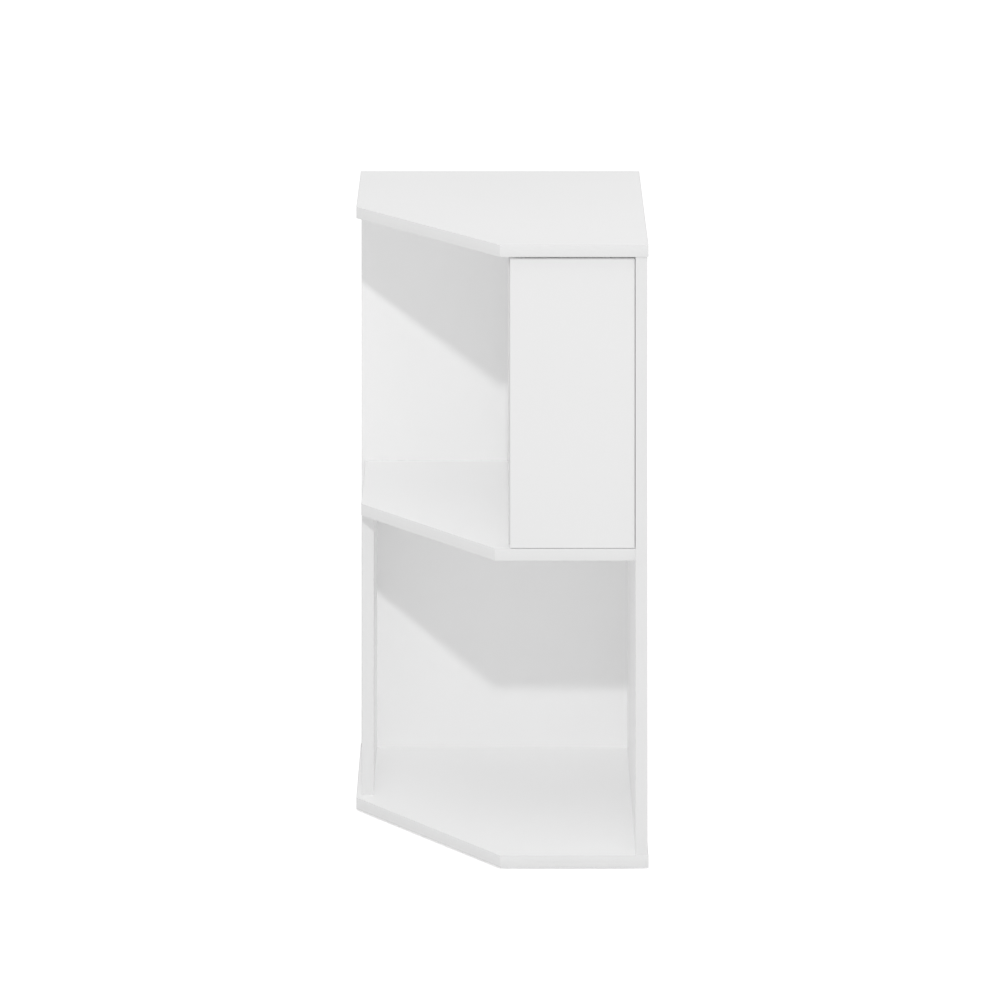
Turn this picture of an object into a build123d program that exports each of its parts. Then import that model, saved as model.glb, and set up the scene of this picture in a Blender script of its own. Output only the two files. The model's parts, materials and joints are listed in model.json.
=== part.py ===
from build123d import *
import os
from math import sqrt

# Corner shelf cabinet in 16 mm coated board: a five-sided top, shelf and bottom, two open
# compartments, and a small cupboard with a push-to-open door. Millimetres, +Z up. The open
# front faces -Y, and the origin is on the floor under the middle of the cabinet.

# Overall sizes
width = 400.0
depth = 400.0
height = 838.0  # board to board, without the glides
board = 16.0
band = 1.0  # edge band
front_edge = 200.0  # straight front edge of the top, at the right
left_edge = 200.0  # straight left edge of the top, at the rear
glide_height = 3.0
glide_radius = 9.0
glide_inset = 18.0

# How far each panel stands back from the top's edges
reveal = 1.5
shelf_inset = 7.0
left_panel_inset = 8.0
left_panel_setback = 10.0
shelf_height = 395.0  # clear height of the lower compartment
partition_place = 155.0  # partition's right face to the side panel's inner face

# Door and the gaps round it
door_inset = 7.0
door_gap_side = 0.8
door_gap_top = 3.8
door_gap_bottom = 0.8
door_overlap = 14.0  # how far the door covers the partition's front edge
push_gap = 2.5  # room behind the door for the push stroke

# Joining hardware
fit = 0.05  # gap between a fastener and its hole, on the radius
cam_radius = 7.5
cam_depth = 12.5
cam_reach = 34.0
cam_sunk = 0.3
cam_slot_width = 1.4
cam_slot_depth = 1.5
bolt_radius = 3.0
bolt_head_radius = 3.4
bolt_head_length = 2.5
bolt_thread_radius = 3.9
bolt_grip = 11.0
dowel_radius = 4.0
dowel_half = 15.0
dowel_chamfer = 1.0
screw_head_radius = 4.8
screw_head_height = 3.0
screw_shank_radius = 3.5
screw_thread_radius = 3.2
screw_length = 48.0
screw_sunk = 0.5
socket_radius = 2.0
socket_depth = 3.0
cap_radius = 8.5
cap_thickness = 0.8
nail_radius = 1.0
nail_length = 13.0

# Rows of fasteners, measured from the carcass's front, rear, left and right
front_row_inset = 62.0
rear_row_inset = 78.0
left_row_inset = 46.0
left_column_inset = 62.0
right_column_inset = 92.0
level_inset = 90.0  # from a shelf or the bottom
top_level_inset = 110.0  # from the top
dowel_step = 32.0  # a dowel to the fastener beside it

# Door hinges, measured from the door's hinged edge and its front face
hinge_inset = 80.0
cup_radius = 17.5
cup_wall = 0.6
cup_depth = 12.5
cup_edge = 5.0
flange_width = 14.0
flange_height = 60.0
flange_thickness = 1.2
cup_screw_offset = 9.5
cup_screw_spacing = 45.0
cup_screw_radius = 2.0
cup_screw_head_radius = 3.4
cup_screw_length = 11.0
pivot_over_floor = 3.1
tip_from_wall = 3.7  # link's free end to the cup's near side
tip_over_floor = 2.8
link_bow = 1.2
link_thickness = 1.6
link_width = 8.0
link_eye_radius = 2.2
link_tip_radius = 1.1
pin_radius = 1.1
pin_length = 10.6
arm_width = 10.6
arm_thickness = 5.0
arm_slot = 8.2
arm_slot_depth = 8.8
arm_reach = 24.0  # how far back the arm runs straight out of the cup
arm_seat = 9.0  # arm's middle on its plate, from the door's edge
arm_turn = 40.0
arm_end = 74.0
arm_tip_radius = 2.2
plate_setback = 55.0
plate_screw_spacing = 32.0
plate_thickness = 2.0
plate_wing = 12.0
plate_span = 44.0
plate_length = 36.0
plate_screw_radius = 1.8
plate_screw_head_radius = 3.2
plate_screw_length = 12.0
arm_screw_radius = 2.0
arm_screw_head_radius = 3.4
arm_screw_grip = 3.5  # thread in the plate
screw_head_rise = 1.6

# Push latch, let into the partition's front edge
latch_radius = 5.0
latch_length = 50.0
latch_drop = 60.0
latch_offset = 2.0  # from the partition's middle, towards the cupboard
latch_flange_radius = 6.0
latch_flange = 1.0
plunger_radius = 3.0
plunger_length = 30.0
strike_radius = 6.0
strike_thickness = 0.6
strike_screw_radius = 1.2
strike_screw_length = 9.0
bumper_radius = 4.0
bumper_thickness = 1.5
bumper_round = 0.6
bumper_drop = 20.0
magnet_radius = 2.2
magnet_length = 4.0
latch_spring_room = 12.0
latch_touch = 0.1  # gap between the plunger and the strike plate

# Places worked out from the sizes above
left = -width / 2
right = width / 2
front = -depth / 2
rear = depth / 2
bottom_low = glide_height
bottom_high = bottom_low + board
shelf_low = bottom_high + shelf_height
shelf_high = shelf_low + board
top_high = glide_height + height
top_low = top_high - board
side_out = right - reveal
side_in = side_out - board
back_face = rear - board
back_left = left + reveal
shelf_left = left + shelf_inset
shelf_front = front + shelf_inset
left_out = left + left_panel_inset
left_in = left_out + board
left_front = rear - left_edge + left_panel_setback
partition_right = side_in - partition_place
partition_left = partition_right - board
door_front = front + door_inset
door_back = door_front + board
door_right = side_in - door_gap_side
door_left = partition_right - door_overlap
door_low = shelf_high + door_gap_bottom
door_high = top_low - door_gap_top
partition_front = door_back + push_gap
side_mid = (side_in + side_out) / 2
left_mid = (left_out + left_in) / 2
partition_mid = (partition_left + partition_right) / 2
back_mid = (back_face + rear) / 2
shelf_mid = (shelf_low + shelf_high) / 2
hinge_levels = (door_low + hinge_inset, door_high - hinge_inset)
cup_place = door_right - cup_edge - cup_radius
plate_y = door_front + plate_setback
cup_floor = board - cup_depth + cup_wall
cup_chord = sqrt((cup_radius - cup_wall) ** 2 - (arm_width / 2) ** 2)
arm_tip = cup_edge + cup_radius + cup_chord - arm_thickness / 2 - fit
link_pivot = (arm_tip, cup_floor + pivot_over_floor)
link_end = (cup_edge + tip_from_wall, cup_floor + tip_over_floor)
link_middle = ((link_pivot[0] + link_end[0]) / 2, (link_pivot[1] + link_end[1]) / 2 - link_bow)
arm_knees = ((link_pivot[0], arm_reach), (arm_seat, arm_turn), (arm_seat, arm_end))
arm_low = arm_seat - arm_thickness / 2
arm_back = arm_seat + arm_thickness / 2
latch_level = door_high - latch_drop
latch_x = partition_mid + latch_offset

os.makedirs("parts", exist_ok=True)
upward = (Align.CENTER, Align.CENTER, Align.MIN)


def save(piece, label):
    piece.part.label = label
    export_step(piece.part, f"parts/{label}.step")


# --- Flat panels: an outline on a plane, with its banded edges a band's thickness in ---


def diagonal_at_x(x):
    slope = (front - (rear - left_edge)) / ((right - front_edge) - left)
    return (rear - left_edge) + (x - left) * slope


def diagonal_at_y(y):
    slope = ((right - front_edge) - left) / (front - (rear - left_edge))
    return left + (y - (rear - left_edge)) * slope


def corner_outline(x_low, y_low, x_high, y_high):
    return [
        (x_low, y_high),
        (x_low, diagonal_at_x(x_low)),
        (diagonal_at_y(y_low), y_low),
        (x_high, y_low),
        (x_high, y_high),
    ]


def rectangle_outline(a_low, b_low, a_high, b_high):
    return [(a_low, b_high), (a_low, b_low), (a_high, b_low), (a_high, b_high)]


def inset_outline(corners, banded):
    """The outline with its banded edges moved in. Edge i runs from corner i to the next."""
    lines = []
    for i, (x, y) in enumerate(corners):
        x_next, y_next = corners[(i + 1) % len(corners)]
        run, rise = x_next - x, y_next - y
        length = sqrt(run**2 + rise**2)
        shift = band if i in banded else 0.0
        lines.append((x - rise / length * shift, y + run / length * shift, run, rise))
    moved = []
    for i, (x, y, run, rise) in enumerate(lines):
        x_last, y_last, run_last, rise_last = lines[i - 1]
        cross = run_last * rise - rise_last * run
        along = ((x - x_last) * rise - (y - y_last) * run) / cross
        moved.append((x_last + along * run_last, y_last + along * rise_last))
    return moved


def panel_blank(plane, corners, banded):
    with BuildSketch(plane) as face:
        with BuildLine():
            Polyline(*inset_outline(corners, banded), close=True)
        make_face()
    extrude(face.sketch, amount=board)


def panel_band(plane, corners, banded):
    with BuildSketch(plane) as face:
        with BuildLine():
            Polyline(*corners, close=True)
        make_face()
        with BuildLine():
            Polyline(*inset_outline(corners, banded), close=True)
        make_face(mode=Mode.SUBTRACT)
    extrude(face.sketch, amount=board)


def level_plane(z):
    return Plane.XY.offset(z)


def side_plane(x):
    """Sketches in Y and Z, and extrudes towards +X."""
    return Plane(origin=(x, 0, 0), x_dir=(0, 1, 0), z_dir=(1, 0, 0))


def face_plane(y):
    """Sketches in X and Z, and extrudes towards -Y."""
    return Plane(origin=(0, y, 0), x_dir=(1, 0, 0), z_dir=(0, -1, 0))


# --- Fasteners: each place is a plane on the joint's face, its Z into the next panel ---


def drill(places, radius, length):
    with Locations(*places):
        Cylinder(radius, length, align=upward, mode=Mode.SUBTRACT)


def rod(places, radius, length):
    with Locations(*places):
        Cylinder(radius, length, align=upward)


def shifted(places, distance):
    return [place.offset(distance) for place in places]


def flipped(places):
    return [Plane(origin=p.origin, x_dir=p.x_dir, z_dir=-p.z_dir) for p in places]


def cam_seats(places):
    """Planes on the panel's face over each cam, their Z into the panel."""
    seats = []
    for place in places:
        mouth = place.origin - place.z_dir * cam_reach + place.x_dir * (board / 2)
        seats.append(Plane(origin=mouth, x_dir=place.z_dir, z_dir=-place.x_dir))
    return seats


def cam_holes(places):
    drill(cam_seats(places), cam_radius + fit, cam_depth)
    drill(flipped(places), bolt_thread_radius + fit, cam_reach)


def bolt_holes(places):
    drill(places, bolt_thread_radius + fit, bolt_grip + fit)


def dowel_holes(places):
    drill(places, dowel_radius + fit, dowel_half + fit)


def screw_holes(places):
    drill(places, screw_head_radius + fit, screw_sunk + screw_head_height + fit)
    drill(places, screw_shank_radius + fit, board)


def screw_pilots(places):
    pilot = screw_sunk + screw_length - board + fit
    drill(shifted(places, board), screw_thread_radius + fit, pilot)


def joint(x, y, z, towards, facing):
    return Plane(origin=(x, y, z), x_dir=facing, z_dir=towards)


to_right, to_left = (1, 0, 0), (-1, 0, 0)
to_rear, to_front = (0, 1, 0), (0, -1, 0)
to_top, to_floor = (0, 0, 1), (0, 0, -1)

# Rows of fasteners across the depth, the width and the height
front_row = front + front_row_inset
middle_row = 0.0
rear_row = rear - rear_row_inset
dowel_front_row = front_row - dowel_step
dowel_rear_row = rear_row + dowel_step
left_front_row = left_front + dowel_step
left_rear_row = rear - left_row_inset
back_left_column = left + left_column_inset
back_right_column = right - right_column_inset
back_dowel_columns = (back_left_column + dowel_step, back_right_column + dowel_step)
low_level = bottom_high + level_inset
under_shelf_level = shelf_low - level_inset
over_shelf_level = shelf_high + level_inset
under_top_level = top_low - top_level_inset

side_top_cams = [joint(side_mid, y, top_low, to_top, to_left) for y in (front_row, rear_row)]
partition_top_cams = [
    joint(partition_mid, y, top_low, to_top, to_right) for y in (front_row, rear_row)
]
back_top_cams = [
    joint(x, back_mid, top_low, to_top, to_rear) for x in (back_left_column, back_right_column)
]
back_side_cams = [
    joint(side_in, back_mid, z, to_right, to_rear)
    for z in (low_level, under_shelf_level, over_shelf_level, under_top_level)
]
shelf_side_cams = [
    joint(side_in, y, shelf_mid, to_right, to_floor) for y in (front_row, rear_row)
]
open_cams = side_top_cams + partition_top_cams + shelf_side_cams
all_cams = open_cams + back_top_cams + back_side_cams

side_top_dowels = [
    joint(side_mid, y, top_low, to_top, to_left) for y in (dowel_front_row, dowel_rear_row)
]
partition_top_dowels = [joint(partition_mid, dowel_rear_row, top_low, to_top, to_left)]
back_top_dowels = [joint(x, back_mid, top_low, to_top, to_rear) for x in back_dowel_columns]
shelf_side_dowels = [
    joint(side_in, y, shelf_mid, to_right, to_floor) for y in (dowel_front_row, dowel_rear_row)
]
left_top_dowels = [
    joint(left_mid, y, shelf_low, to_top, to_right) for y in (left_front_row, left_rear_row)
]
top_dowels = side_top_dowels + partition_top_dowels + back_top_dowels
all_dowels = top_dowels + shelf_side_dowels + left_top_dowels

side_foot_screws = [
    joint(side_mid, y, bottom_low, to_top, to_left) for y in (front_row, middle_row, rear_row)
]
left_foot_screws = [
    joint(left_mid, y, bottom_low, to_top, to_left) for y in (left_front_row, left_rear_row)
]
back_foot_screws = [
    joint(x, back_mid, bottom_low, to_top, to_left) for x in (back_left_column, back_right_column)
]
partition_foot_screws = [
    joint(partition_mid, y, shelf_low, to_top, to_left) for y in (front_row, rear_row)
]
back_shelf_screws = [
    joint(x, rear, shelf_mid, to_front, to_left) for x in (back_left_column, back_right_column)
]
back_left_screws = [
    joint(left_mid, rear, z, to_front, to_left) for z in (low_level, under_shelf_level)
]
back_partition_screws = [
    joint(partition_mid, rear, z, to_front, to_left) for z in (over_shelf_level, under_top_level)
]
foot_screws = side_foot_screws + left_foot_screws + back_foot_screws
back_screws = back_shelf_screws + back_left_screws + back_partition_screws
all_screws = foot_screws + partition_foot_screws + back_screws

glide_centres = [
    (left + glide_inset, rear - glide_inset),
    (right - glide_inset, rear - glide_inset),
    (right - glide_inset, front + glide_inset),
    (right - front_edge + glide_inset, front + glide_inset),
    (left + glide_inset, rear - left_edge + glide_inset),
]
glide_places = [joint(x, y, bottom_low, to_top, to_left) for x, y in glide_centres]

# Places on the door and beside it
cup_places = [joint(cup_place, door_back, z, to_front, to_top) for z in hinge_levels]
cup_screw_places = [
    joint(cup_place - cup_screw_offset, door_back, z + step, to_front, to_top)
    for z in hinge_levels
    for step in (-cup_screw_spacing / 2, cup_screw_spacing / 2)
]
plate_screw_places = [
    joint(side_in, plate_y, z + step, to_right, to_top)
    for z in hinge_levels
    for step in (-plate_screw_spacing / 2, plate_screw_spacing / 2)
]
arm_screw_places = [
    joint(door_right - arm_back, plate_y, z, to_right, to_top) for z in hinge_levels
]
latch_place = [joint(latch_x, partition_front, latch_level, to_rear, to_top)]
strike_place = [joint(latch_x, door_back, latch_level, to_front, to_top)]
plunger_y = door_back + strike_thickness + latch_touch
plunger_place = [joint(latch_x, plunger_y, latch_level, to_rear, to_top)]
bumper_levels = (hinge_levels[0], door_high - bumper_drop)
bumper_places = [joint(latch_x, partition_front, z, to_front, to_top) for z in bumper_levels]

# --- Panels ---

top_outline = corner_outline(left, front, right, rear)
top_banded = (0, 1, 2, 3)
shelf_outline = corner_outline(shelf_left, shelf_front, side_in, back_face)
shelf_banded = (0, 1, 2)
side_outline = rectangle_outline(front + reveal, bottom_high, rear, top_low)
back_outline = rectangle_outline(back_left, bottom_high, side_in, top_low)
left_outline = rectangle_outline(left_front, bottom_high, back_face, shelf_low)
partition_outline = rectangle_outline(partition_front, shelf_high, back_face, top_low)
door_outline = rectangle_outline(door_left, door_low, door_right, door_high)
one_banded = (0,)
door_banded = (0, 1, 2, 3)

with BuildPart() as top_panel:
    panel_blank(level_plane(top_low), top_outline, top_banded)
    bolt_holes(side_top_cams + partition_top_cams + back_top_cams)
    dowel_holes(top_dowels)
save(top_panel, "top_panel")

with BuildPart() as top_edge_band:
    panel_band(level_plane(top_low), top_outline, top_banded)
save(top_edge_band, "top_edge_band")

with BuildPart() as bottom_panel:
    panel_blank(level_plane(bottom_low), top_outline, top_banded)
    screw_holes(foot_screws)
    drill(glide_places, nail_radius + fit, nail_length + fit)
save(bottom_panel, "bottom_panel")

with BuildPart() as bottom_edge_band:
    panel_band(level_plane(bottom_low), top_outline, top_banded)
save(bottom_edge_band, "bottom_edge_band")

with BuildPart() as middle_shelf:
    panel_blank(level_plane(shelf_low), shelf_outline, shelf_banded)
    cam_holes(shelf_side_cams)
    dowel_holes(flipped(shelf_side_dowels) + left_top_dowels)
    screw_holes(partition_foot_screws)
    screw_pilots(back_shelf_screws)
save(middle_shelf, "middle_shelf")

with BuildPart() as shelf_edge_band:
    panel_band(level_plane(shelf_low), shelf_outline, shelf_banded)
save(shelf_edge_band, "shelf_edge_band")

with BuildPart() as right_side_panel:
    panel_blank(side_plane(side_in), side_outline, one_banded)
    cam_holes(side_top_cams)
    dowel_holes(flipped(side_top_dowels) + shelf_side_dowels)
    bolt_holes(shelf_side_cams + back_side_cams)
    screw_pilots(side_foot_screws)
    drill(plate_screw_places, plate_screw_radius + fit, plate_screw_length)
save(right_side_panel, "right_side_panel")

with BuildPart() as side_edge_band:
    panel_band(side_plane(side_in), side_outline, one_banded)
save(side_edge_band, "side_edge_band")

with BuildPart() as back_panel:
    panel_blank(face_plane(rear), back_outline, one_banded)
    cam_holes(back_top_cams + back_side_cams)
    dowel_holes(flipped(back_top_dowels))
    screw_pilots(back_foot_screws)
    screw_holes(back_screws)
save(back_panel, "back_panel")

with BuildPart() as back_edge_band:
    panel_band(face_plane(rear), back_outline, one_banded)
save(back_edge_band, "back_edge_band")

with BuildPart() as left_side_panel:
    panel_blank(side_plane(left_out), left_outline, one_banded)
    dowel_holes(flipped(left_top_dowels))
    screw_pilots(left_foot_screws + back_left_screws)
save(left_side_panel, "left_side_panel")

with BuildPart() as left_edge_band:
    panel_band(side_plane(left_out), left_outline, one_banded)
save(left_edge_band, "left_edge_band")

with BuildPart() as cupboard_partition:
    panel_blank(side_plane(partition_left), partition_outline, one_banded)
    cam_holes(partition_top_cams)
    dowel_holes(flipped(partition_top_dowels))
    screw_pilots(partition_foot_screws + back_partition_screws)
    drill(latch_place, latch_radius + fit, latch_length + fit)
save(cupboard_partition, "cupboard_partition")

with BuildPart() as partition_edge_band:
    panel_band(side_plane(partition_left), partition_outline, one_banded)
    drill(latch_place, latch_radius + fit, band)
save(partition_edge_band, "partition_edge_band")

with BuildPart() as cupboard_door:
    panel_blank(face_plane(door_back), door_outline, door_banded)
    drill(cup_places, cup_radius + fit, cup_depth + fit)
    drill(cup_screw_places, cup_screw_radius + fit, cup_screw_length)
    drill(strike_place, strike_screw_radius + fit, strike_screw_length)
save(cupboard_door, "cupboard_door")

with BuildPart() as door_edge_band:
    panel_band(face_plane(door_back), door_outline, door_banded)
save(door_edge_band, "door_edge_band")

# --- Joining hardware ---

with BuildPart() as cam_housings:
    rod(shifted(cam_seats(all_cams), cam_sunk), cam_radius, cam_depth - cam_sunk - fit)
    drill(shifted(all_cams, -cam_reach), bolt_head_radius + fit, cam_radius + board)
    with Locations(*cam_seats(all_cams)):
        Box(cam_radius, cam_slot_width, 2 * (cam_sunk + cam_slot_depth), mode=Mode.SUBTRACT)
        Box(cam_slot_width, cam_radius, 2 * (cam_sunk + cam_slot_depth), mode=Mode.SUBTRACT)
save(cam_housings, "cam_housings")

with BuildPart() as cam_bolts:
    rod(shifted(all_cams, -cam_reach + fit), bolt_radius, cam_reach)
    rod(shifted(all_cams, -cam_reach + fit), bolt_head_radius, bolt_head_length)
    rod(all_cams, bolt_thread_radius, bolt_grip)
save(cam_bolts, "cam_bolts")

with BuildPart() as cam_cover_caps:
    rod(flipped(cam_seats(open_cams)), cap_radius, cap_thickness)
save(cam_cover_caps, "cam_cover_caps")

with BuildPart() as wooden_dowels:
    rod(shifted(all_dowels, -dowel_half), dowel_radius, 2 * dowel_half)
    chamfer(wooden_dowels.edges().filter_by(GeomType.CIRCLE), dowel_chamfer)
save(wooden_dowels, "wooden_dowels")

with BuildPart() as panel_screws:
    with Locations(*shifted(all_screws, screw_sunk)):
        Cone(screw_head_radius, screw_shank_radius, screw_head_height, align=upward)
    rod(shifted(all_screws, screw_sunk), screw_shank_radius, board - screw_sunk)
    rod(shifted(all_screws, screw_sunk), screw_thread_radius, screw_length)
    for place in all_screws:
        with BuildSketch(place) as socket:
            RegularPolygon(socket_radius, 6)
        extrude(socket.sketch, amount=screw_sunk + socket_depth, mode=Mode.SUBTRACT)
save(panel_screws, "panel_screws")

with BuildPart() as floor_glides:
    rod(flipped(glide_places), glide_radius, glide_height)
save(floor_glides, "floor_glides")

with BuildPart() as glide_nails:
    rod(glide_places, nail_radius, nail_length)
save(glide_nails, "glide_nails")

# --- Door hinges ---


def hinge_point(place):
    """A point given from the door's hinged edge and front face, in X and Y."""
    return (door_right - place[0], door_front + place[1])


def hinge_planes(span):
    """One level plane for each hinge, half a span below its middle."""
    return [level_plane(z - span / 2) for z in hinge_levels]


pivot_places = [
    joint(*hinge_point(link_pivot), z - pin_length / 2, to_top, to_left) for z in hinge_levels
]

with BuildPart() as hinge_cups:
    rod(cup_places, cup_radius, cup_depth)
    drill(cup_places, cup_radius - cup_wall, cup_depth - cup_wall)
    for z in hinge_levels:
        with BuildSketch(face_plane(door_back + flange_thickness)) as flange:
            with Locations((cup_place - cup_screw_offset, z)):
                Rectangle(flange_width, flange_height)
            with Locations((cup_place, z)):
                Circle(cup_radius)
                Circle(cup_radius - cup_wall, mode=Mode.SUBTRACT)
            for step in (-cup_screw_spacing / 2, cup_screw_spacing / 2):
                with Locations((cup_place - cup_screw_offset, z + step)):
                    Circle(cup_screw_radius + fit, mode=Mode.SUBTRACT)
        extrude(flange.sketch, amount=flange_thickness)
save(hinge_cups, "hinge_cups")

with BuildPart() as hinge_cup_screws:
    rod(shifted(cup_screw_places, -flange_thickness), cup_screw_radius, cup_screw_length)
    with Locations(*shifted(cup_screw_places, -flange_thickness - screw_head_rise)):
        Cone(cup_screw_radius, cup_screw_head_radius, screw_head_rise, align=upward)
save(hinge_cup_screws, "hinge_cup_screws")

with BuildPart() as hinge_plates:
    for z in hinge_levels:
        base = joint(side_in - plate_thickness, plate_y, z, to_right, to_top)
        rise = joint(door_right - arm_low, plate_y, z, to_right, to_top)
        with BuildSketch(base) as cross:
            Rectangle(plate_wing, plate_length)
            Rectangle(plate_span, plate_wing)
        extrude(cross.sketch, amount=plate_thickness)
        with BuildSketch(rise) as rail:
            Rectangle(arm_width, plate_length)
        extrude(rail.sketch, amount=side_in - door_right + arm_low - plate_thickness)
    drill(shifted(plate_screw_places, -plate_thickness), plate_screw_radius + fit, plate_thickness)
    drill(arm_screw_places, arm_screw_radius + fit, arm_thickness + arm_screw_grip + fit)
save(hinge_plates, "hinge_plates")

with BuildPart() as hinge_plate_screws:
    seats = shifted(plate_screw_places, -plate_thickness)
    rod(seats, plate_screw_radius, plate_thickness + plate_screw_length - fit)
    with Locations(*shifted(seats, -screw_head_rise)):
        Cone(plate_screw_radius, plate_screw_head_radius, screw_head_rise, align=upward)
save(hinge_plate_screws, "hinge_plate_screws")

with BuildPart() as hinge_arms:
    for plane in hinge_planes(arm_width):
        with BuildSketch(plane) as side_view:
            with BuildLine():
                Polyline(*[hinge_point(place) for place in (link_pivot, *arm_knees)])
            trace(line_width=arm_thickness)
            with Locations(hinge_point(link_pivot)):
                Circle(arm_tip_radius)
        extrude(side_view.sketch, amount=arm_width)
    with Locations(*[(*hinge_point(link_pivot), z) for z in hinge_levels]):
        Box(arm_slot_depth, arm_slot_depth, arm_slot, mode=Mode.SUBTRACT)
    drill(pivot_places, pin_radius + fit, pin_length)
    drill(arm_screw_places, arm_screw_radius + fit, arm_thickness)
save(hinge_arms, "hinge_arms")

with BuildPart() as hinge_arm_screws:
    rod(arm_screw_places, arm_screw_radius, arm_thickness + arm_screw_grip)
    with Locations(*shifted(arm_screw_places, -screw_head_rise)):
        Cylinder(arm_screw_head_radius, screw_head_rise, align=upward)
save(hinge_arm_screws, "hinge_arm_screws")

with BuildPart() as hinge_pins:
    rod(pivot_places, pin_radius, pin_length)
save(hinge_pins, "hinge_pins")

with BuildPart() as hinge_links:
    for plane in hinge_planes(link_width):
        with BuildSketch(plane) as link_view:
            with BuildLine():
                ThreePointArc(*[hinge_point(p) for p in (link_pivot, link_middle, link_end)])
            trace(line_width=link_thickness)
            with Locations(hinge_point(link_pivot)):
                Circle(link_eye_radius)
            with Locations(hinge_point(link_end)):
                Circle(link_tip_radius)
        extrude(link_view.sketch, amount=link_width)
    drill(pivot_places, pin_radius + fit, pin_length)
save(hinge_links, "hinge_links")

# --- Push latch and its strike plate ---

with BuildPart() as latch_housing:
    rod(latch_place, latch_radius, latch_length)
    rod(shifted(latch_place, -latch_flange), latch_flange_radius, latch_flange)
    bore = latch_flange + plunger_length + latch_spring_room
    drill(shifted(latch_place, -latch_flange), plunger_radius + fit, bore)
save(latch_housing, "latch_housing")

with BuildPart() as latch_plunger:
    rod(plunger_place, plunger_radius, plunger_length)
    drill(plunger_place, magnet_radius, magnet_length)
save(latch_plunger, "latch_plunger")

with BuildPart() as latch_magnet:
    rod(plunger_place, magnet_radius, magnet_length)
save(latch_magnet, "latch_magnet")

with BuildPart() as strike_plate:
    rod(shifted(strike_place, -strike_thickness), strike_radius, strike_thickness)
    drill(shifted(strike_place, -strike_thickness), strike_screw_radius + fit, strike_thickness)
save(strike_plate, "strike_plate")

with BuildPart() as strike_screw:
    rod(shifted(strike_place, -strike_thickness), strike_screw_radius, strike_screw_length)
save(strike_screw, "strike_screw")

with BuildPart() as door_bumpers:
    rod(bumper_places, bumper_radius, bumper_thickness)
    fillet(door_bumpers.faces().sort_by(Axis.Y)[0:2].edges(), bumper_round)
save(door_bumpers, "door_bumpers")
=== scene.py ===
import json
import math
import bmesh
import bpy
from mathutils import Matrix, Vector


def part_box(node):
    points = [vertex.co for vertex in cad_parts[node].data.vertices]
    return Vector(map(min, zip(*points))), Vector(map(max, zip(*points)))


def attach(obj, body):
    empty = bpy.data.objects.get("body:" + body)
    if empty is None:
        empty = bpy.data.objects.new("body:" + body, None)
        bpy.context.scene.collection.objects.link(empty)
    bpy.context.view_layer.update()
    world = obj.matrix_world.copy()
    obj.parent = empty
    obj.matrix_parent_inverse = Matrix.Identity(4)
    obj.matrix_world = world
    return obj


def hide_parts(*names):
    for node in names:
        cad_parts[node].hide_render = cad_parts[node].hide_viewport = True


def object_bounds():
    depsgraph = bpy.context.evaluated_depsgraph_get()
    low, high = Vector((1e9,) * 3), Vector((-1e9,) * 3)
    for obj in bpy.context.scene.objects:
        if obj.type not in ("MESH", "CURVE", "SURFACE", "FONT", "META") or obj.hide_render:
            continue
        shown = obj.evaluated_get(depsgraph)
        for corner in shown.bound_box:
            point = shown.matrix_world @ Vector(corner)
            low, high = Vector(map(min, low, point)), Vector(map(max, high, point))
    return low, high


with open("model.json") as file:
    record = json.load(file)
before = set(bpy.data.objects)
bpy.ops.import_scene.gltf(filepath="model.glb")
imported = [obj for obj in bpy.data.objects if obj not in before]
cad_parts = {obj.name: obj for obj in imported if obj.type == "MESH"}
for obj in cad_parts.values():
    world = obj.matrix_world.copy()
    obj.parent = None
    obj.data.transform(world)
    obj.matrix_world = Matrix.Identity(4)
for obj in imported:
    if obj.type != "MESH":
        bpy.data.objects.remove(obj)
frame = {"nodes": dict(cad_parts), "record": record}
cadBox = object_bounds()
print("cabinet loaded:", len(frame["nodes"]), "pieces")
mm = 0.001


# small node helpers, so that each finish below reads as a list of its own steps

def newMaterial(name):
    material = bpy.data.materials.new(name)
    material.use_nodes = True
    nodes, links = material.node_tree.nodes, material.node_tree.links
    return material, nodes, links, nodes["Principled BSDF"]


def objectCoords(nodes, links, scale=(1, 1, 1)):
    coords = nodes.new("ShaderNodeTexCoord")
    mapping = nodes.new("ShaderNodeMapping")
    mapping.inputs["Scale"].default_value = scale
    links.new(coords.outputs["Object"], mapping.inputs["Vector"])
    return mapping.outputs["Vector"]


def noise(nodes, links, coords, scale, detail=3.0, rough=0.5):
    texture = nodes.new("ShaderNodeTexNoise")
    texture.inputs["Scale"].default_value = scale
    texture.inputs["Detail"].default_value = detail
    texture.inputs["Roughness"].default_value = rough
    links.new(coords, texture.inputs["Vector"])
    return texture.outputs["Fac"]


def ramp(nodes, links, source, low, high, start=0.3, end=0.7):
    blend = nodes.new("ShaderNodeValToRGB")
    blend.color_ramp.elements[0].position = start
    blend.color_ramp.elements[1].position = end
    blend.color_ramp.elements[0].color = (*low, 1)
    blend.color_ramp.elements[1].color = (*high, 1)
    links.new(source, blend.inputs["Fac"])
    return blend.outputs["Color"]


def remap(nodes, links, source, low, high):
    spread = nodes.new("ShaderNodeMapRange")
    spread.inputs["From Min"].default_value = 0.3
    spread.inputs["From Max"].default_value = 0.7
    spread.inputs["To Min"].default_value = low
    spread.inputs["To Max"].default_value = high
    links.new(source, spread.inputs["Value"])
    return spread.outputs["Result"]


def bump(nodes, links, height, depth, strength):
    relief = nodes.new("ShaderNodeBump")
    relief.inputs["Strength"].default_value = strength
    relief.inputs["Distance"].default_value = depth
    links.new(height, relief.inputs["Height"])
    return relief.outputs["Normal"]


def blendColours(nodes, links, factor, first, second):
    mix = nodes.new("ShaderNodeMix")
    mix.data_type = "RGBA"
    links.new(factor, mix.inputs["Factor"])
    links.new(first, mix.inputs[6])
    links.new(second, mix.inputs[7])
    return mix.outputs[2]


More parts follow.
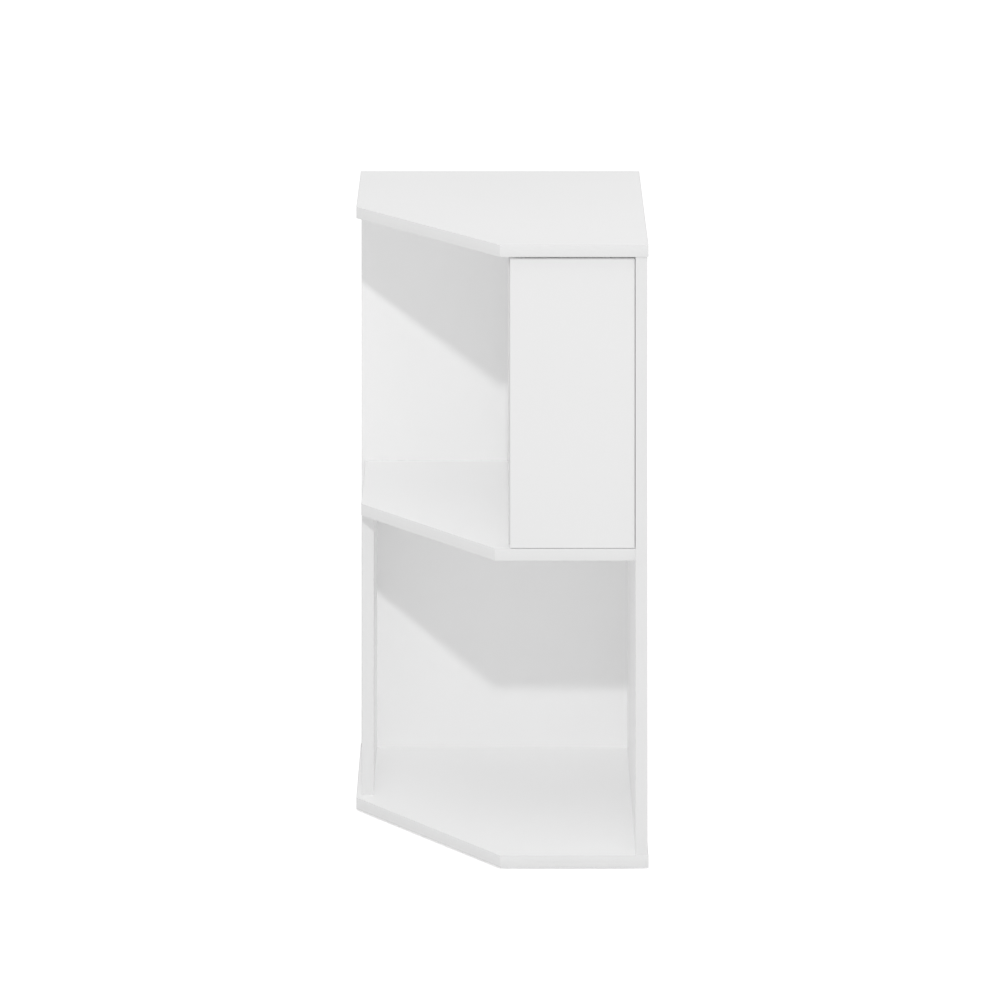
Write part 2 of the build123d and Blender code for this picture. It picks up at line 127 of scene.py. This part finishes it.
def grey(value, warmth=0.0):
    return (value + warmth, value, value - warmth)


# finishes

boardFinish = {
    "white": 0.930,
    "doorPaintedShadeWhite": 0.850,  # painted shade: the door's white is set greyer than the other boards to darken its front face, which the lamps light head on
    "tone": 0.006,  # how far the white drifts over a panel
    "drift": 3.0,  # and how often, cycles per metre
    "roughness": (0.42, 0.50),
    "pearl": 1600,  # grain of the pressed surface, cycles per metre
    "pearlDepth": 0.012 * mm,
    "relief": 0.5,
    "chipLight": (0.58, 0.43, 0.27),
    "chipDark": (0.30, 0.20, 0.115),
    "chipScale": 520,
    "chipSqueeze": 2.6,  # chips lie flat in the board: long along the edge, thin across it
    "coreRoughness": 0.9,
}


# the coated faces are white; sawn edges and drilled holes show the chipboard core
def coatedBoard(name, thickAxis, paint):
    material, nodes, links, shader = newMaterial(name)
    s = boardFinish
    coords = objectCoords(nodes, links)
    drift = noise(nodes, links, coords, s["drift"], 2.0)
    white = ramp(nodes, links, drift, grey(paint - s["tone"]), grey(paint + s["tone"]))
    pearl = noise(nodes, links, coords, s["pearl"], 2.0, 0.6)
    squeeze = [1.0, 1.0, 1.0]
    squeeze[thickAxis] = s["chipSqueeze"]
    chipCoords = objectCoords(nodes, links, squeeze)
    cells = nodes.new("ShaderNodeTexVoronoi")
    cells.inputs["Scale"].default_value = s["chipScale"]
    links.new(chipCoords, cells.inputs["Vector"])
    chips = nodes.new("ShaderNodeSeparateColor")
    links.new(cells.outputs["Color"], chips.inputs["Color"])
    core = ramp(nodes, links, chips.outputs["Red"], s["chipDark"], s["chipLight"], 0.0, 0.9)
    # 1 where the surface looks along the board's thickness
    side = nodes.new("ShaderNodeTexCoord")
    split = nodes.new("ShaderNodeSeparateXYZ")
    links.new(side.outputs["Normal"], split.inputs["Vector"])
    size = nodes.new("ShaderNodeMath")
    size.operation = "ABSOLUTE"
    links.new(split.outputs[thickAxis], size.inputs[0])
    face = nodes.new("ShaderNodeMath")
    face.operation = "GREATER_THAN"
    face.inputs[1].default_value = 0.5
    links.new(size.outputs[0], face.inputs[0])
    links.new(blendColours(nodes, links, face.outputs[0], core, white), shader.inputs["Base Color"])
    gloss = remap(nodes, links, drift, *s["roughness"])
    dull = nodes.new("ShaderNodeMapRange")
    dull.inputs["To Min"].default_value = s["coreRoughness"]
    links.new(face.outputs[0], dull.inputs["Value"])
    links.new(gloss, dull.inputs["To Max"])
    links.new(dull.outputs["Result"], shader.inputs["Roughness"])
    links.new(bump(nodes, links, pearl, s["pearlDepth"], s["relief"]), shader.inputs["Normal"])
    return material


bandFinish = {
    # the band's white is partly the plastic's own slightly greyer tone and mostly painted shade, set low to
    # darken these front-facing edges under the lamps
    "white": 0.820,
    "tone": 0.006,
    "drift": 9.0,
    "roughness": (0.34, 0.42),
    "pearl": 1100,
    "pearlDepth": 0.01 * mm,
    "relief": 0.4,
}


def edgeBandPlastic():
    material, nodes, links, shader = newMaterial("edgeBandWhite")
    s = bandFinish
    coords = objectCoords(nodes, links)
    drift = noise(nodes, links, coords, s["drift"], 2.0)
    white = ramp(nodes, links, drift, grey(s["white"] - s["tone"]), grey(s["white"] + s["tone"]))
    links.new(white, shader.inputs["Base Color"])
    links.new(remap(nodes, links, drift, *s["roughness"]), shader.inputs["Roughness"])
    pearl = noise(nodes, links, coords, s["pearl"], 2.0)
    links.new(bump(nodes, links, pearl, s["pearlDepth"], s["relief"]), shader.inputs["Normal"])
    return material


metalFinish = {
    "cloud": 60.0,  # slow drift of the colour, cycles per metre
    "grain": 900.0,
    "relief": 0.5,
    "kinds": {
        "nickelPlate": {"dark": (0.66, 0.63, 0.58), "light": (0.70, 0.67, 0.62),
                        "roughness": (0.25, 0.30), "depth": 0.002 * mm},
        "zincPlate": {"dark": (0.70, 0.71, 0.72), "light": (0.77, 0.77, 0.76),
                      "roughness": (0.28, 0.36), "depth": 0.003 * mm},
        "castZinc": {"dark": (0.42, 0.43, 0.44), "light": (0.56, 0.57, 0.58),
                     "roughness": (0.42, 0.58), "depth": 0.03 * mm},
        "magnetGrey": {"dark": grey(0.20), "light": grey(0.28),
                       "roughness": (0.35, 0.5), "depth": 0.01 * mm},
    },
}


def platedMetal(name, dark, light, roughness, depth):
    material, nodes, links, shader = newMaterial(name)
    s = metalFinish
    coords = objectCoords(nodes, links)
    cloud = noise(nodes, links, coords, s["cloud"], 4.0)
    grain = noise(nodes, links, coords, s["grain"])
    links.new(ramp(nodes, links, cloud, dark, light), shader.inputs["Base Color"])
    links.new(remap(nodes, links, grain, *roughness), shader.inputs["Roughness"])
    links.new(bump(nodes, links, grain, depth, s["relief"]), shader.inputs["Normal"])
    shader.inputs["Metallic"].default_value = 1.0
    return material


plasticFinish = {
    "cloud": 80.0,
    "grain": 1800.0,
    "depth": 0.02 * mm,
    "relief": 0.5,
    "kinds": {
        "capWhite": {"dark": grey(0.76), "light": grey(0.80), "roughness": (0.38, 0.5)},
        "glideWhite": {"dark": grey(0.66, 0.006), "light": grey(0.72, 0.006), "roughness": (0.45, 0.6)},
        "latchGrey": {"dark": grey(0.55), "light": grey(0.61), "roughness": (0.36, 0.48)},
    },
}


def mouldedPlastic(name, dark, light, roughness):
    material, nodes, links, shader = newMaterial(name)
    s = plasticFinish
    coords = objectCoords(nodes, links)
    cloud = noise(nodes, links, coords, s["cloud"])
    grain = noise(nodes, links, coords, s["grain"], 2.0)
    links.new(ramp(nodes, links, cloud, dark, light), shader.inputs["Base Color"])
    links.new(remap(nodes, links, grain, *roughness), shader.inputs["Roughness"])
    links.new(bump(nodes, links, grain, s["depth"], s["relief"]), shader.inputs["Normal"])
    return material


beechFinish = {
    "dark": (0.50, 0.34, 0.20),
    "light": (0.68, 0.50, 0.32),
    "roughness": (0.6, 0.75),
    "grain": 1400.0,
    "stretch": 0.12,  # grain drawn out along the dowel
    "depth": 0.04 * mm,
    "relief": 0.6,
}


def beechWood():
    material, nodes, links, shader = newMaterial("dowelBeech")
    s = beechFinish
    coords = objectCoords(nodes, links, (1, 1, s["stretch"]))
    grain = noise(nodes, links, coords, s["grain"], 4.0, 0.6)
    links.new(ramp(nodes, links, grain, s["dark"], s["light"]), shader.inputs["Base Color"])
    links.new(remap(nodes, links, grain, *s["roughness"]), shader.inputs["Roughness"])
    links.new(bump(nodes, links, grain, s["depth"], s["relief"]), shader.inputs["Normal"])
    return material


rubberFinish = {
    "white": (0.80, 0.86),
    "roughness": (0.12, 0.2),
    "cloud": 300.0,
    "clear": 0.2,
    "ior": 1.45,
}


def clearRubber():
    material, nodes, links, shader = newMaterial("bumperClear")
    s = rubberFinish
    low, high = s["white"]
    cloud = noise(nodes, links, objectCoords(nodes, links), s["cloud"], 2.0)
    links.new(ramp(nodes, links, cloud, grey(low), grey(high)), shader.inputs["Base Color"])
    links.new(remap(nodes, links, cloud, *s["roughness"]), shader.inputs["Roughness"])
    shader.inputs["Transmission Weight"].default_value = s["clear"]
    shader.inputs["IOR"].default_value = s["ior"]
    return material


boards = {
    axis: coatedBoard("coatedBoard" + label, axis, boardFinish["white"]) for axis, label in enumerate("XYZ")
}
# the door's material carries painted shade: a greyer white that darkens its lit front face
doorBoardPaintedShade = coatedBoard("coatedBoardDoor", 1, boardFinish["doorPaintedShadeWhite"])
# edge band material: its greyer white is partly the plastic's own tone and partly painted shade on the lit
# edges
bandPaintedShade = edgeBandPlastic()
metals = {name: platedMetal(name, **kind) for name, kind in metalFinish["kinds"].items()}
plastics = {name: mouldedPlastic(name, **kind) for name, kind in plasticFinish["kinds"].items()}
nickel, zincPlate = metals["nickelPlate"], metals["zincPlate"]
print("finishes made")


# pieces: CAD nodes that keep their shape get a finish, and the rest are rebuilt with eased edges

nodes = frame["nodes"]
bodyOf = {node: body for body, group in frame["record"]["behaviour"]["bodies"].items() for node in group}


def dress(node, material):
    mesh = nodes[node].data
    if not mesh.materials:
        mesh.materials.append(material)
    for slot in nodes[node].material_slots:
        slot.material = material


# work is a bmesh in the cabinet's frame; it stands for the node and moves as it does
def addPiece(name, node, work, material):
    mesh = bpy.data.meshes.new(name)
    work.to_mesh(mesh)
    work.free()
    mesh.shade_smooth()
    mesh.set_sharp_from_angle(angle=math.radians(32))
    mesh.materials.append(material)
    piece = bpy.data.objects.new(name, mesh)
    bpy.context.scene.collection.objects.link(piece)
    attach(piece, bodyOf[node])
    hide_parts(node)


# the node's mesh with its flat faces whole again
def meshOf(node):
    work = bmesh.new()
    work.from_mesh(nodes[node].data)
    bmesh.ops.remove_doubles(work, verts=work.verts, dist=0.002 * mm)
    flat = math.radians(0.6)
    bmesh.ops.dissolve_limit(work, angle_limit=flat, verts=work.verts, edges=work.edges)
    return work


panels = {  # axis of each board's thickness
    "top_panel": 2, "bottom_panel": 2, "middle_shelf": 2, "right_side_panel": 0, "back_panel": 1,
    "left_side_panel": 0, "cupboard_partition": 0, "cupboard_door": 1,
}
for node, axis in panels.items():
    dress(node, doorBoardPaintedShade if node == "cupboard_door" else boards[axis])
print("panels dressed")

edging = {
    "round": 0.2 * mm,  # outer arris of the band
    "steps": 4,
    "bands": {
        "top_edge_band": "top_panel", "bottom_edge_band": "bottom_panel",
        "shelf_edge_band": "middle_shelf", "side_edge_band": "right_side_panel",
        "back_edge_band": "back_panel", "left_edge_band": "left_side_panel",
        "partition_edge_band": "cupboard_partition", "door_edge_band": "cupboard_door",
    },
}


def edgeBand(node, panel):
    axis = panels[panel]
    work = meshOf(node)
    low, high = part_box(panel)
    middle = (low + high) / 2

    def looksOut(face):
        return abs(face.normal[axis]) < 0.5 and face.normal.dot(face.calc_center_median() - middle) > 0

    arrises = []
    for edge in work.edges:
        if len(edge.link_faces) != 2 or edge.calc_length() < 5 * mm:
            continue
        first, second = edge.link_faces
        if looksOut(first) != looksOut(second):
            side = second if looksOut(first) else first
            if abs(side.normal[axis]) > 0.5:
                arrises.append(edge)
    bmesh.ops.bevel(work, geom=arrises, offset=edging["round"], segments=edging["steps"],
                    profile=0.5, affect="EDGES", clamp_overlap=True)
    addPiece(node + "Eased", node, work, bandPaintedShade)


for node, panel in edging["bands"].items():
    edgeBand(node, panel)
print("edge bands rounded")

hardware = {
    "steps": 2,
    "sharp": 0.6,  # radians between two faces that count as an edge
    "pieces": {  # finish, and how far its edges are eased
        "hinge_cups": (nickel, 0.18 * mm), "hinge_arms": (nickel, 0.25 * mm),
        "hinge_plates": (nickel, 0.25 * mm),
        "latch_housing": (plastics["latchGrey"], 0.25 * mm),
        "latch_plunger": (plastics["latchGrey"], 0.25 * mm),
        "floor_glides": (plastics["glideWhite"], 0.7 * mm),
        "cam_cover_caps": (plastics["capWhite"], 0.3 * mm),
        "strike_plate": (nickel, 0.2 * mm),
    },
}


def easedPart(node, material, ease):
    work = meshOf(node)
    edges = [e for e in work.edges if len(e.link_faces) == 2 and e.calc_face_angle(0) > hardware["sharp"]]
    bmesh.ops.bevel(work, geom=edges, offset=ease, segments=hardware["steps"],
                    profile=0.5, affect="EDGES", clamp_overlap=True)
    addPiece(node + "Eased", node, work, material)


for node, (material, ease) in hardware["pieces"].items():
    easedPart(node, material, ease)

crossHeads = {
    "round": 0.4 * mm,
    "steps": 3,
    "armLong": 0.72,  # half the cross, as a share of the head's flat
    "armWide": 0.17,
    "deep": 0.8 * mm,
    "heads": {  # the way each set of screws faces
        "hinge_cup_screws": (0, 1, 0), "hinge_plate_screws": (-1, 0, 0),
        "hinge_arm_screws": (-1, 0, 0), "strike_screw": (0, 1, 0),
    },
}


def crossHeadScrews(node, facing):
    s = crossHeads
    out = Vector(facing)
    along, across = Vector((0, 0, 1)), out.cross(Vector((0, 0, 1)))
    work = meshOf(node)

    def flats():
        return [f for f in work.faces if len(f.verts) > 8 and f.normal.dot(out) > 0.99]

    rims = list(dict.fromkeys(edge for face in flats() for edge in face.edges))
    bmesh.ops.bevel(work, geom=rims, offset=s["round"], segments=s["steps"], profile=0.5,
                    affect="EDGES", clamp_overlap=True)
    for flat in flats():
        centre = flat.calc_center_median()
        radius = min((v.co - centre).length for v in flat.verts)
        b, a = s["armLong"] * radius, s["armWide"] * radius
        outline = [(b, a), (a, a), (a, b), (-a, b), (-a, a), (-b, a),
                   (-b, -a), (-a, -a), (-a, -b), (a, -b), (a, -a), (b, -a)]
        rim = list(flat.edges)
        bmesh.ops.delete(work, geom=[flat], context="FACES_ONLY")
        mouth = [work.verts.new(centre + along * x + across * y) for x, y in outline]
        floor = [work.verts.new(v.co - out * s["deep"]) for v in mouth]
        lips = [work.edges.new((mouth[i - 1], mouth[i])) for i in range(len(mouth))]
        bmesh.ops.triangle_fill(work, edges=rim + lips, use_beauty=True, normal=out)
        for i in range(len(mouth)):
            work.faces.new((mouth[i - 1], mouth[i], floor[i], floor[i - 1]))
        work.faces.new(floor)
    bmesh.ops.recalc_face_normals(work, faces=work.faces)
    addPiece(node + "Crossed", node, work, zincPlate)


for node, facing in crossHeads["heads"].items():
    crossHeadScrews(node, facing)

plain = {
    "cam_housings": metals["castZinc"], "cam_bolts": zincPlate, "wooden_dowels": beechWood(),
    "panel_screws": zincPlate, "glide_nails": zincPlate, "hinge_pins": zincPlate,
    "hinge_links": nickel, "latch_magnet": metals["magnetGrey"], "door_bumpers": clearRubber(),
}
for node, material in plain.items():
    dress(node, material)
print("hardware made")


# floor, light and camera

studio = {
    "floorSize": 60.0,
    "floorWhite": 0.90,
    "floorTone": 0.004,
    "floorDrift": 1.5,
    "floorRoughness": 0.9,
    "floorGlow": 0.0,  # floor's own light on the cabinet
    "floorSeen": 0.5,  # and as it is seen, so that it stays white
    "sky": 0.676,
    "keyPower": 113.0,
    "keySize": 0.24,
    "keyPlace": (0.0, -5.6, 4.87),
    "fillPower": 25.0,
    "fillSize": 2.5,
    "fillPlace": (0.0, -1.5, 5.0),
    "aim": (0.0, 0.0, 0.45),
    "bounces": 16,  # white compartments need many
}


def floorMaterial():
    material, nodeTree, links, shader = newMaterial("floorPale")
    s = studio
    coords = objectCoords(nodeTree, links)
    mottle = noise(nodeTree, links, coords, s["floorDrift"], 2.0)
    white = s["floorWhite"]
    tone = ramp(nodeTree, links, mottle, grey(white - s["floorTone"]), grey(white))
    links.new(tone, shader.inputs["Base Color"])
    links.new(tone, shader.inputs["Emission Color"])
    path = nodeTree.new("ShaderNodeLightPath")
    glow = nodeTree.new("ShaderNodeMapRange")
    glow.inputs["To Min"].default_value = s["floorGlow"]
    glow.inputs["To Max"].default_value = s["floorSeen"]
    links.new(path.outputs["Is Camera Ray"], glow.inputs["Value"])
    links.new(glow.outputs["Result"], shader.inputs["Emission Strength"])
    shader.inputs["Roughness"].default_value = s["floorRoughness"]
    shader.inputs["Specular IOR Level"].default_value = 0.0
    return material


def makeStudio():
    s = studio
    bpy.ops.mesh.primitive_plane_add(size=s["floorSize"], location=(0, 0, cadBox[0].z))
    floor = bpy.context.object
    floor.name = "floor"
    floor.data.materials.append(floorMaterial())
    world = bpy.data.worlds.new("studio")
    bpy.context.scene.world = world
    world.use_nodes = True
    world.node_tree.nodes["Background"].inputs["Color"].default_value = (1, 1, 1, 1)
    world.node_tree.nodes["Background"].inputs["Strength"].default_value = s["sky"]
    for name in ("key", "fill"):
        light = bpy.data.lights.new(name + "Light", "AREA")
        light.shape = "DISK"
        light.size = s[name + "Size"]
        light.energy = s[name + "Power"]
        lamp = bpy.data.objects.new(name + "Light", light)
        lamp.location = s[name + "Place"]
        aim = Vector(s["aim"]) - lamp.location
        lamp.rotation_euler = aim.to_track_quat("-Z", "Y").to_euler()
        bpy.context.scene.collection.objects.link(lamp)
    bpy.context.scene.view_settings.view_transform = "Standard"
    bpy.context.scene.cycles.diffuse_bounces = s["bounces"]
    bpy.context.scene.cycles.max_bounces = s["bounces"]


viewCamera = {
    "place": (0.0, -6.110, 2.416),
    "lookDown": 17.98,  # degrees below the horizon
    "lens": 166.2,
    "sensor": 36.0,
}


# a view camera: the lens looks down while the film stays upright, so uprights stay parallel
def makeCamera():
    s = viewCamera
    lens = bpy.data.cameras.new("viewCamera")
    lens.sensor_width = s["sensor"]
    lens.lens = s["lens"]
    lens.clip_end = 200.0
    camera = bpy.data.objects.new("viewCamera", lens)
    stand = bpy.data.objects.new("cameraStand", None)
    bpy.context.scene.collection.objects.link(stand)
    bpy.context.scene.collection.objects.link(camera)
    down = math.radians(s["lookDown"])
    upright = Matrix(((1, 0, 0), (0, 0, -math.cos(down)), (0, 1, math.sin(down)))).to_4x4()
    camera.parent = stand
    camera.matrix_parent_inverse = Matrix.Translation(s["place"]) @ upright
    bpy.context.scene.camera = camera


makeStudio()
makeCamera()
print("studio and camera set")
